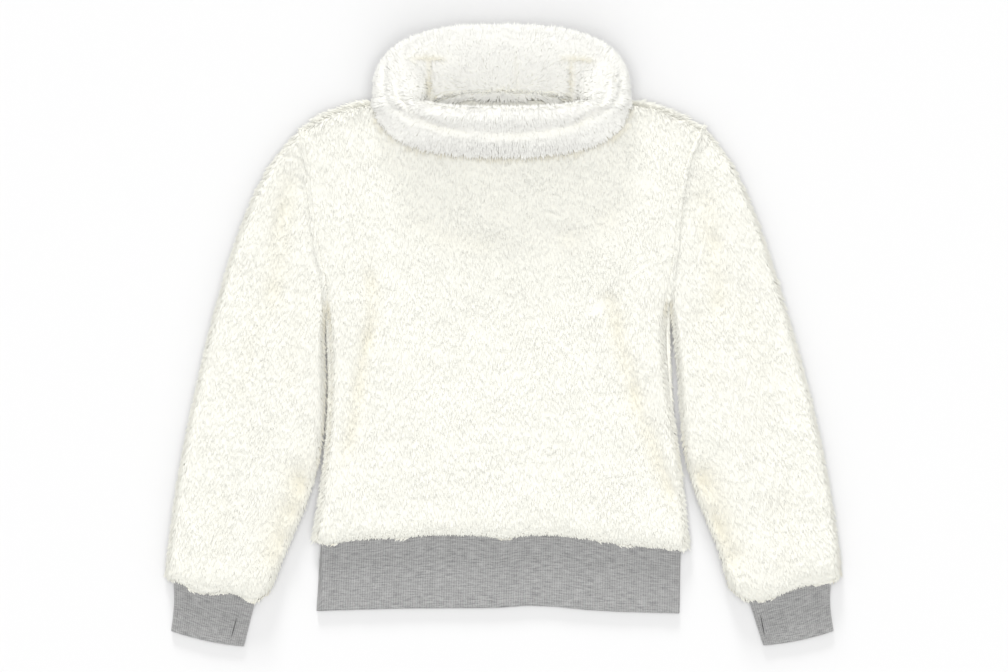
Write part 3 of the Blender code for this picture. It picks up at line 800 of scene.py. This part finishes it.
def pile_tree():
    """The Geometry Nodes tree that plants tufts on a surface, leaning along its nap."""
    tree = bpy.data.node_groups.get("Pile")
    if tree:
        return tree
    tree = bpy.data.node_groups.new("Pile", "GeometryNodeTree")
    sockets = (
        ("Surface", "NodeSocketGeometry"), ("Density", "NodeSocketFloat"), ("Length", "NodeSocketFloat"),
        ("Width", "NodeSocketFloat"), ("Untidiness", "NodeSocketFloat"),
        ("Seed", "NodeSocketInt"), ("Material", "NodeSocketMaterial"),
    )
    for name, kind in sockets:
        tree.interface.new_socket(name, in_out="INPUT", socket_type=kind)
    tree.interface.new_socket("Pile", in_out="OUTPUT", socket_type="NodeSocketGeometry")
    graph = Graph(tree)
    outputs = graph.node("NodeGroupInput").outputs
    given = {socket.name: Value(graph, socket) for socket in outputs if socket.name}

    def field(name, kind="FLOAT"):
        node = graph.node("GeometryNodeInputNamedAttribute", {"data_type": kind}, Name=name)
        return Value(graph, next(s for s in node.outputs if s.enabled and s.name == "Attribute"))

    def random(low, high, seed, kind="FLOAT"):
        node = graph.node("FunctionNodeRandomValue", {"data_type": kind}, Min=low, Max=high, Seed=seed)
        return Value(graph, next(s for s in node.outputs if s.enabled))

    place = graph.node("GeometryNodeInputPosition").outputs[0]

    def drift(scale, detail):
        turns = graph.noise(place, scale, detail, output="Color")
        return graph.vector("SUBTRACT", turns, (0.5, 0.5, 0.5))

    scatter = graph.node(
        "GeometryNodeDistributePointsOnFaces", {"distribute_method": "RANDOM"},
        Mesh=given["Surface"], Density=given["Density"] * field("cover"), Seed=given["Seed"],
    )
    normal = field("outward", "FLOAT_VECTOR")
    nap = field("nap", "FLOAT_VECTOR")
    locks = graph.scaled(drift(LOCK_SCALE, 2.0), LOCK_TURN)
    sweep = graph.scaled(drift(SWEEP_SCALE, 1.0), SWEEP_TURN)
    jitter = random((-1.0,) * 3, (1.0,) * 3, 3, "FLOAT_VECTOR")
    lean = field("lean")
    combed = graph.vector("ADD", graph.scaled(normal, 1 - lean), graph.scaled(nap, lean))
    stray = graph.vector("ADD", graph.scaled(jitter, given["Untidiness"]), locks)
    way = graph.vector("ADD", combed, graph.vector("ADD", stray, sweep))
    aimed = graph.node("FunctionNodeAlignRotationToVector", {"axis": "Z"}, Vector=way)
    facing = graph.vector("ADD", normal, graph.scaled((0.0, 0.0, 1.0), field("fluff") * 0.9))
    aligned = graph.node(
        "FunctionNodeAlignRotationToVector", {"axis": "X", "pivot_axis": "Z"},
        Rotation=aimed.outputs[0], Vector=facing,
    )
    spin = graph.node(
        "FunctionNodeAxisAngleToRotation", Axis=(0.0, 0.0, 1.0), Angle=random(-0.5, 0.5, 5)
    )
    turned = graph.node("FunctionNodeRotateRotation", {"rotation_space": "LOCAL"})
    graph.feed(turned.inputs[0], aligned.outputs[0])
    graph.feed(turned.inputs[1], spin.outputs[0])
    length = given["Length"] * random(0.7, 1.25, 7) * field("room")
    width = given["Width"] * random(0.7, 1.2, 9)
    scale = graph.node("ShaderNodeCombineXYZ", X=width * TUFT_FLATNESS, Y=width, Z=length)
    kept = graph.node(
        "GeometryNodeStoreNamedAttribute", {"data_type": "FLOAT", "domain": "POINT"},
        Geometry=scatter.outputs["Points"], Name="tone", Value=random(0.0, 1.0, 11),
    )
    cone = graph.node(
        "GeometryNodeMeshCone", {"fill_type": "NONE"},
        Vertices=3, Side_Segments=1, Radius_Top=0.0, Radius_Bottom=0.5, Depth=1.0,
    )
    height = graph.node("ShaderNodeSeparateXYZ", Vector=place)
    tuft = graph.node(
        "GeometryNodeStoreNamedAttribute", {"data_type": "FLOAT", "domain": "POINT"},
        Geometry=cone.outputs["Mesh"], Name="tip", Value=height.outputs["Z"],
    )
    planted = graph.node(
        "GeometryNodeInstanceOnPoints",
        Points=kept.outputs["Geometry"], Instance=tuft.outputs["Geometry"],
        Rotation=turned.outputs[0], Scale=scale.outputs[0],
    )
    real = graph.node("GeometryNodeRealizeInstances", Geometry=planted.outputs["Instances"])
    dressed = graph.node(
        "GeometryNodeSetMaterial", Geometry=real.outputs["Geometry"], Material=given["Material"]
    )
    graph.node("NodeGroupOutput", Pile=dressed.outputs["Geometry"])
    return tree


def plant_pile(surface, node, seed, plush, density, soft):
    """The pile of one piece as a plain mesh object, shaded mostly with the normals of the surface."""
    name = node + "_pile"
    host = placed(name + "_host", surface)
    if node == "collar":
        material = material_named("Collar pile", collar_pile_material, plush)
    else:
        material = material_named("Plush pile", pile_material, plush)
    inputs = {
        "Density": plush.density * density,
        "Length": plush.pile_length,
        "Width": plush.tuft_width,
        "Untidiness": plush.untidiness,
        "Seed": seed,
        "Material": material,
    }
    modifier = host.modifiers.new("Pile", "NODES")
    modifier.node_group = pile_tree()
    for item in modifier.node_group.interface.items_tree:
        if item.name in inputs:
            modifier[item.identifier] = inputs[item.name]
    mesh = plain_mesh(host, name)
    host.modifiers.clear()
    bpy.data.objects.remove(host)
    outward = values_of(mesh.attributes["outward"].data, "vector", 3)
    fluff = values_of(mesh.attributes["fluff"].data, "value")[:, None]
    places, own = mesh_arrays(mesh)
    for guide in GUIDES:
        if guide in mesh.attributes:
            mesh.attributes.remove(mesh.attributes[guide])
    mesh.shade_smooth()
    outward[:, 2] = np.maximum(outward[:, 2], 0.2)
    softened = unit(outward + own * (0.1 + 0.6 * fluff) + (soft + 2.2 * fluff) * (0, 0, 1))
    mesh.normals_split_custom_set_from_vertices(softened)
    set_places(mesh, places, TUFT_FLOOR)
    return placed(name, mesh)


def open_surface(node, trees):
    """The surface of a plush solid where no other piece hides it, finer and rounder."""
    mesh = fine_solid(node)
    drop_hidden(mesh, node, trees)
    drop_crumbs(mesh)
    data = bpy.data.meshes.new(node + "_backing")
    mesh.to_mesh(data)
    mesh.free()
    return data


def creases_inward(node, in_mm, normals, creases):
    """How far each place is pressed down by the creases of its piece, and how much painted shade they
    give it.
    """
    depth, tint = crease_depth(in_mm, creases)
    if node == "collar":
        upper = smooth_step((normals[:, 2] + 0.1) / 0.4)
    else:
        upper = np.maximum(normals[:, 2], 0)
    return depth * upper, tint * upper


def depth_of_backing(node, places, normals, joined, fluff, gap, tree, plush):
    """How deep the backing lies at each place: less in slots, at seams, below and in thin parts."""
    lifted = smooth_step((normals[:, 2] + 0.97) / 0.5)
    depth = plush.backing_depth * lifted * (1 + 0.4 * fluff)
    depth = depth * (0.35 + 0.65 * smooth_step(gap)) * (1 - 0.7 * joined)
    depth = limit_depth(places, normals, tree, depth)
    if node == "collar":
        nape = (places[:, 1] > NAPE_LINE) & (normals[:, 1] < NAPE_FACING)
        depth[nape] = np.minimum(depth[nape], NAPE_DEPTH)
    return depth


def walled(node, data, plush):
    """The cloth of one plush piece: its backing with a wall's thickness."""
    data.materials.append(material_named("Plush backing", backing_material, plush))
    data.shade_smooth()
    name = node + "_cloth"
    cloth = placed(name, data)
    wall = cloth.modifiers.new("Wall", "SOLIDIFY")
    wall.thickness, wall.offset = plush.backing_thickness, -1
    thick = plain_mesh(cloth, name)
    set_places(thick, mesh_arrays(thick)[0], CLOTH_FLOOR)
    cloth.modifiers.clear()
    cloth.data = thick
    bpy.data.meshes.remove(data)
    return cloth


def dress(node, creases, seed, plush, density=1.0, soft=0.45):
    """The cloth and the pile of one plush piece, from the surface of its solid."""
    trees = {name: solid_tree(name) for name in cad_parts}
    data = open_surface(node, trees)
    places, normals = mesh_arrays(data)
    places, normals, joined = close_seams(places, normals, node, trees)
    in_mm = places / MM
    fluff = np.maximum(fluff_of(node, places, normals), 0.25 * joined)
    gap = free_room(places, normals, trees, SLOT_REACH) / SLOT_REACH
    gap = np.maximum(gap, joined)
    depth = depth_of_backing(node, places, normals, joined, fluff, gap, trees[node], plush)
    inward, tint = creases_inward(node, in_mm, normals, creases)
    inward += WAVE_DEPTH * waves(in_mm, WAVE_SIZE, seed) * np.maximum(normals[:, 2], 0)
    places = places - normals * depth[:, None]
    places[:, 2] -= inward * MM
    places = set_places(data, places, BACKING_FLOOR)
    pressed = smooth_step(np.abs(inward) / 1.2)[:, None]
    normals = unit(blend(normals, mesh_arrays(data)[1], pressed * (1 - joined[:, None])))
    room = free_room(places, normals, trees, plush.pile_length + plush.backing_depth)
    free = smooth_step((room - plush.backing_depth * 0.4) / (plush.pile_length * 0.7))
    free = np.maximum(free, joined)
    edge = above_knit(places, normals, trees)
    if node == "back":
        gap = np.maximum(gap, BACK_GAP)
    # Painted shade at the steep edges of the panels and sleeves, where less light falls on them.
    if node != "collar":
        steep = smooth_step((0.75 - normals[:, 2]) / 0.6)
        tint = np.maximum(tint, EDGE_PAINTED_SHADE * steep * (1 - joined))
    surface = data.copy()
    # Painted shade on the backing where little pile has room.
    add_attributes(data, bare=1 - smooth_step(free * 3))
    # The hollow attribute is painted shade: from the creases, the steep edges and the slots, where shade
    # falls.
    add_attributes(
        surface,
        hollow=np.clip(np.maximum(tint, SLOT_PAINTED_SHADE * (1 - gap)), 0, 1),
        fluff=fluff,
        cover=(free > 0.03) * (0.35 + 0.65 * free) * (1 + 0.7 * joined),
        room=(0.25 + 0.75 * free) * (1 - 0.35 * edge),
        lean=blend(plush.lean, plush.edge_lean, fluff),
        outward=normals,
        nap=nap_of(node, places, normals),
    )
    pile = plant_pile(surface, node, seed, plush, density, soft)
    cloth = walled(node, data, plush)
    for piece in (cloth, pile):
        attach(piece, "root")
        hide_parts(node)
    return cloth, pile


def ring_of(plan, over, under):
    """A closed row round a wall: along its upper side and back along its lower one."""
    return np.vstack((np.column_stack((plan, over)), np.column_stack((plan, under))[-2:0:-1]))


def knit_wall(name, line, width, length, held, creases, knit, rows=16):
    """A flattened tube of doubled knit, with ribs down its outer faces.

    line gives the place at shares across and down. held is how much of its length is held
    in the plush, where it lies higher.
    """
    pitch = knit.rib_pitch / MM
    shares = np.linspace(0, 1, int(round(width / pitch * RIB_COLUMNS)) + 1)
    rim = np.minimum(shares, 1 - shares) * width
    half = KNIT_HALF * quarter(rim / KNIT_HALF)
    ribs = 1 - np.abs(np.sin(np.pi * shares * width / pitch)) ** 0.8
    wall = KNIT_WALL / width
    inside = np.clip(shares, wall, 1 - wall)
    hollow = KNIT_GAP * quarter(np.minimum(inside - wall, 1 - wall - inside) * width)
    ends = np.array((0, 0.5, 1.2, 2.0)) / length
    downs = np.concatenate((ends, np.linspace(0, 1, rows)[1:-1], 1 - ends[::-1]))
    outer, inner = [], []
    for down in downs:
        from_end = min(down, 1 - down) * length
        round_off = 0.55 + 0.45 * float(quarter(from_end / KNIT_ROUND))
        lift = KNIT_LIFT * (1 - smooth_step((down * length - held) / KNIT_FADE))
        plan = line(shares, down)
        sag, _ = crease_depth(plan, creases)
        uneven = 0.25 * waves(plan, 38.0, 5) * smooth_step(down * 4)
        over = lift + KNIT_HALF + (half - ribs * knit.rib_relief / MM) * round_off - sag + uneven
        under = lift + KNIT_HALF - (half - ribs * 0.3) * round_off
        outer.append(ring_of(plan, over, np.maximum(under, 0.05)))
        roof = lift + KNIT_HALF + hollow - sag
        inner.append(ring_of(line(inside, down), roof, lift + KNIT_HALF - hollow - sag))
    grid = np.array(outer + inner[::-1]) * MM
    around = np.concatenate((shares, 2 - shares[-2:0:-1]))
    coords = np.concatenate((downs, downs[::-1]))
    return grid_object(name, grid, around * width * MM, coords * length * MM)


def grid_object(name, grid, across, down):
    """A closed ring of rows as a mesh, with its UV map in metres."""
    rows, columns = grid.shape[:2]
    here = np.arange(rows * columns).reshape(rows, columns)
    below, right = np.roll(here, -1, 0), np.roll(here, -1, 1)
    corner = np.roll(below, -1, 1)
    faces = np.stack((here, below, corner, right), -1).reshape(-1, 4)
    data = bpy.data.meshes.new(name)
    data.from_pydata(grid.reshape(-1, 3).tolist(), [], faces.tolist())
    row, column = faces // columns, faces % columns
    u, v = across[column], down[row]
    wraps = (column == 0) & (column[:, :1] == columns - 1)
    u = np.where(wraps, across[-1] + across[1], u)
    layer = data.uv_layers.new(name="Knit")
    layer.data.foreach_set("uv", np.stack((u, v), -1).ravel())
    mesh = bmesh.new()
    mesh.from_mesh(data)
    bmesh.ops.recalc_face_normals(mesh, faces=mesh.faces)
    mesh.to_mesh(data)
    mesh.free()
    data.shade_smooth()
    return placed(name, data)


def cuff_line(cuff):
    """The places of a cuff in plan, at shares across and down, with a lower edge that hangs."""
    corners = [np.array(corner, float) for corner in cuff[:4]]
    outer_top, inner_top, inner_foot, outer_foot = corners

    def line(shares, down):
        waist = np.array((cuff.waist, 0)) * np.sin(np.pi * down)
        outer = blend(outer_top, outer_foot, down) + waist
        across = blend(inner_top, inner_foot, down) - outer
        hang = CUFF_SAG * 4 * shares * (1 - shares) * down
        return outer + shares[:, None] * across - np.column_stack((0 * hang, hang))

    return line


def lens_cutter(cuff, width=3.0, depth=5.0):
    """The thumb slit's opening: a narrow shape with short points through the upper wall."""
    top, foot = (np.array(point, float) for point in (cuff.slit_top, cuff.slit_foot))
    run = foot - top
    side = np.array((-run[1], run[0])) / np.linalg.norm(run)
    shares = np.linspace(0, 1, 17)
    swell = np.sin(np.pi * shares) ** 0.3 * width / 2
    left = top + shares[:, None] * run + side * swell[:, None]
    right = (top + shares[:, None] * run - side * swell[:, None])[-2:0:-1]
    ring = np.vstack((left, right))
    mesh = bmesh.new()
    foot_of_cut, head_of_cut = (
        [mesh.verts.new((x * MM, y * MM, z * MM)) for x, y in ring]
        for z in (KNIT_HALF, KNIT_HALF + depth)
    )
    mesh.faces.new(foot_of_cut)
    mesh.faces.new(head_of_cut)
    for i in range(len(ring)):
        j = (i + 1) % len(ring)
        mesh.faces.new((foot_of_cut[i], foot_of_cut[j], head_of_cut[j], head_of_cut[i]))
    bmesh.ops.recalc_face_normals(mesh, faces=mesh.faces)
    data = bpy.data.meshes.new("slit")
    mesh.to_mesh(data)
    mesh.free()
    return placed("slit", data), ring


def slit_binding(name, ring, height):
    """The overcast edge round a thumb slit: a soft cord of knit that follows the opening."""
    count = len(ring) * 3
    line = curve_through(np.vstack((ring, ring[:1])), count + 1)[:-1]
    ahead = unit(np.roll(line, -1, 0) - np.roll(line, 1, 0))
    out = np.column_stack((ahead[:, 1], -ahead[:, 0]))
    ripple = 1 + 0.14 * np.sin(np.arange(count) * 2 * np.pi / 3)
    grid = np.empty((count, BINDING_SIDES, 3))
    for k, angle in enumerate(np.linspace(0, 2 * np.pi, BINDING_SIDES, endpoint=False)):
        grid[:, k, :2] = line + out * (0.25 + np.cos(angle) * BINDING_RADIUS * ripple)[:, None]
        grid[:, k, 2] = height + np.sin(angle) * BINDING_RADIUS * ripple
    across, down = np.arange(BINDING_SIDES) * 0.0006, np.arange(count) * 0.0008
    return grid_object(name, grid * MM, across, down)


def finish_knit(obj, node, knit):
    """Gives a knit piece its material and its place in the frame."""
    obj.data.materials.append(material_named("Heather rib knit", knit_material, knit))
    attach(obj, "root")
    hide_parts(node)


def make_cuff(name, cuff, knit):
    """One cuff of doubled knit, gathered under the plush, with its thumb slit and the slit's edge."""
    outer_top, inner_top = np.array(cuff.outer_top), np.array(cuff.inner_top)
    width = np.linalg.norm(outer_top - inner_top)
    length = np.linalg.norm(np.subtract(cuff.outer_foot, cuff.outer_top))
    gathers = []
    for share, drift in ((0.2, 2), (0.42, -3), (0.63, 3)):
        head = blend(outer_top, inner_top, share)
        gathers.append(Crease(0.9, 3.0, [head + (0, -12), head + (drift, -34)]))
    obj = knit_wall(name + "_knit", cuff_line(cuff), width, length, CUFF_HELD, gathers, knit)
    cutter, ring = lens_cutter(cuff)
    cut = obj.modifiers.new("Thumb slit", "BOOLEAN")
    cut.operation, cut.solver, cut.object = "DIFFERENCE", "EXACT", cutter
    opened = plain_mesh(obj, obj.name)
    obj.modifiers.clear()
    closed, obj.data = obj.data, opened
    bpy.data.meshes.remove(closed)
    bpy.data.objects.remove(cutter)
    binding = slit_binding(name + "_slit_edge", ring, 2 * KNIT_HALF - 0.2)
    for piece in (obj, binding):
        finish_knit(piece, name, knit)


def band_line():
    """The places of the hem band in plan, at shares across and down, and its width."""
    tree = solid_tree("hem_band")

    def met(x, y, *way):
        """Where a level ray from there meets the band's solid."""
        return tree.ray_cast(Vector((x, y, BAND_HEIGHT)), Vector((*way, 0)))[0]

    lefts, rights = (
        [met(x, y, way, 0).x / MM for y in (BAND_UPPER, BAND_LOWER)]
        for x, way in ((-0.5, 1), (0.5, -1))
    )
    xs = np.linspace(lefts[1] + 1.5, rights[1] - 1.5, 90)
    tops, feet = (
        [met(x * MM, y, 0, way).y / MM for x in xs] for y, way in ((0.0, -1), (-0.6, 1))
    )

    def line(shares, down):
        left, right = (blend(*side, (down - 0.2) / 0.6) for side in (lefts, rights))
        x = blend(left, right, shares)
        y = blend(np.interp(x, xs, tops), np.interp(x, xs, feet), down)
        return np.column_stack((x, y))

    return line, rights[1] - lefts[1]


def lay_floor(stage):
    """The white surface that the pullover lies on."""
    data = bpy.data.meshes.new("floor")
    reach = 8.0
    corners = [(-reach, -reach, 0), (reach, -reach, 0), (reach, reach, 0), (-reach, reach, 0)]
    data.from_pydata(corners, [], [(0, 1, 2, 3)])
    floor = placed("floor", data)
    material = bpy.data.materials.new("Floor")
    material.use_nodes = True
    shader = material.node_tree.nodes["Principled BSDF"]
    shader.inputs["Base Color"].default_value = colour(stage.floor_colour)
    shader.inputs["Roughness"].default_value = 0.9
    shader.inputs["Specular IOR Level"].default_value = 0.1
    data.materials.append(material)


def set_lights(scene, stage):
    """Even light from all sides, and three wide lights that aim at the middle of the pullover."""
    world = bpy.data.worlds.new("Soft light")
    world.use_nodes = True
    sky = world.node_tree.nodes["Background"]
    sky.inputs["Color"].default_value = (1.0, 1.0, 1.0, 1.0)
    sky.inputs["Strength"].default_value = stage.sky_strength
    scene.world = world
    for name, strength, angle, place in (
        ("Key", stage.key_strength, 12, (-0.3, 2.6, 0.75)),
        ("Top", stage.top_strength, 50, (0.0, 0.1, 3.0)),
        ("Fill", stage.fill_strength, 60, (0.2, -2.4, 1.7)),
    ):
        light = bpy.data.lights.new(name, "SUN")
        light.energy, light.angle = strength, math.radians(angle)
        lamp = placed(name, light)
        lamp.location = place
        lamp.rotation_euler = (-lamp.location).to_track_quat("-Z", "Y").to_euler()


def set_camera(scene, stage):
    """The camera straight above, which takes in the frame's width at the garment's height."""
    camera = bpy.data.cameras.new("Camera")
    camera.sensor_fit, camera.sensor_width = "HORIZONTAL", 36.0
    camera.lens = camera.sensor_width * (stage.camera_height - GARMENT_HEIGHT) / stage.frame_width
    camera.clip_end = 100.0
    eye = placed("Camera", camera)
    eye.location = (*CAMERA_PLACE, stage.camera_height)
    scene.camera = eye
    scene.view_settings.view_transform = "Standard"


class PULLOVER_OT_front(bpy.types.Operator):
    """Makes the front panel with its pile"""

    bl_idname = "pullover.front"
    bl_label = "Front"

    def execute(self, context):
        plush = context.scene.pullover_plush
        cloth, pile = dress("front", BODY_CREASES, 11, plush)
        return {"FINISHED"}


class PULLOVER_OT_back(bpy.types.Operator):
    """Makes the back panel, on which the pullover lies, with the pile that shows round it"""

    bl_idname = "pullover.back"
    bl_label = "Back"

    def execute(self, context):
        plush = context.scene.pullover_plush
        cloth, pile = dress("back", [], 23, plush)
        return {"FINISHED"}


class PULLOVER_OT_sleeves(bpy.types.Operator):
    """Makes both sleeves with their pile"""

    bl_idname = "pullover.sleeves"
    bl_label = "Sleeves"

    def execute(self, context):
        plush = context.scene.pullover_plush
        for node, creases, seed in (
            ("sleeve_left", LEFT_SLEEVE_CREASES, 31),
            ("sleeve_right", RIGHT_SLEEVE_CREASES, 37),
        ):
            cloth, pile = dress(node, creases, seed, plush)
        return {"FINISHED"}


class PULLOVER_OT_collar(bpy.types.Operator):
    """Makes the turned-down collar with its pile"""

    bl_idname = "pullover.collar"
    bl_label = "Collar"

    def execute(self, context):
        plush = context.scene.pullover_plush
        cloth, pile = dress("collar", COLLAR_CREASES, 41, plush, density=1.15, soft=2.0)
        return {"FINISHED"}


class PULLOVER_OT_hem_band(bpy.types.Operator):
    """Makes the rib knit band round the hem"""

    bl_idname = "pullover.hem_band"
    bl_label = "Hem band"

    def execute(self, context):
        knit = context.scene.pullover_knit
        line, width = band_line()
        obj = knit_wall("hem_band_knit", line, width, BAND_LENGTH, BAND_HELD, BAND_CREASES, knit)
        finish_knit(obj, "hem_band", knit)
        return {"FINISHED"}


class PULLOVER_OT_cuffs(bpy.types.Operator):
    """Makes both rib knit cuffs with their thumb slits"""

    bl_idname = "pullover.cuffs"
    bl_label = "Cuffs"

    def execute(self, context):
        knit = context.scene.pullover_knit
        make_cuff("cuff_left", LEFT_CUFF, knit)
        make_cuff("cuff_right", RIGHT_CUFF, knit)
        return {"FINISHED"}


class PULLOVER_OT_stage(bpy.types.Operator):
    """Makes the surface, the soft light and the camera straight above"""

    bl_idname = "pullover.stage"
    bl_label = "Stage"

    def execute(self, context):
        stage = context.scene.pullover_stage
        lay_floor(stage)
        set_lights(context.scene, stage)
        set_camera(context.scene, stage)
        return {"FINISHED"}


class PULLOVER_PT_pieces(bpy.types.Panel):
    """Lists the pieces and their settings"""

    bl_idname = "PULLOVER_PT_pieces"
    bl_label = "Pullover"
    bl_space_type = "VIEW_3D"
    bl_region_type = "UI"
    bl_category = "Pullover"

    def draw(self, context):
        scene = context.scene
        for group in (scene.pullover_plush, scene.pullover_knit, scene.pullover_stage):
            box = self.layout.box()
            for name in group.__annotations__:
                box.prop(group, name)
        for operator in OPERATORS:
            self.layout.operator(operator.bl_idname)


OPERATORS = (
    PULLOVER_OT_stage,
    PULLOVER_OT_front,
    PULLOVER_OT_back,
    PULLOVER_OT_sleeves,
    PULLOVER_OT_collar,
    PULLOVER_OT_hem_band,
    PULLOVER_OT_cuffs,
)
GROUPS = {"pullover_plush": PlushSettings, "pullover_knit": KnitSettings, "pullover_stage": StageSettings}


def register():
    for kind in (*GROUPS.values(), *OPERATORS, PULLOVER_PT_pieces):
        bpy.utils.register_class(kind)
    for name, kind in GROUPS.items():
        setattr(bpy.types.Scene, name, bpy.props.PointerProperty(type=kind))


def unregister():
    for name in GROUPS:
        delattr(bpy.types.Scene, name)
    for kind in (PULLOVER_PT_pieces, *reversed(OPERATORS), *GROUPS.values()):
        bpy.utils.unregister_class(kind)


def main():
    register()
    bpy.ops.pullover.stage()
    bpy.ops.pullover.front()
    bpy.ops.pullover.back()
    bpy.ops.pullover.sleeves()
    bpy.ops.pullover.collar()
    bpy.ops.pullover.hem_band()
    bpy.ops.pullover.cuffs()


if __name__ == "__main__":
    main()
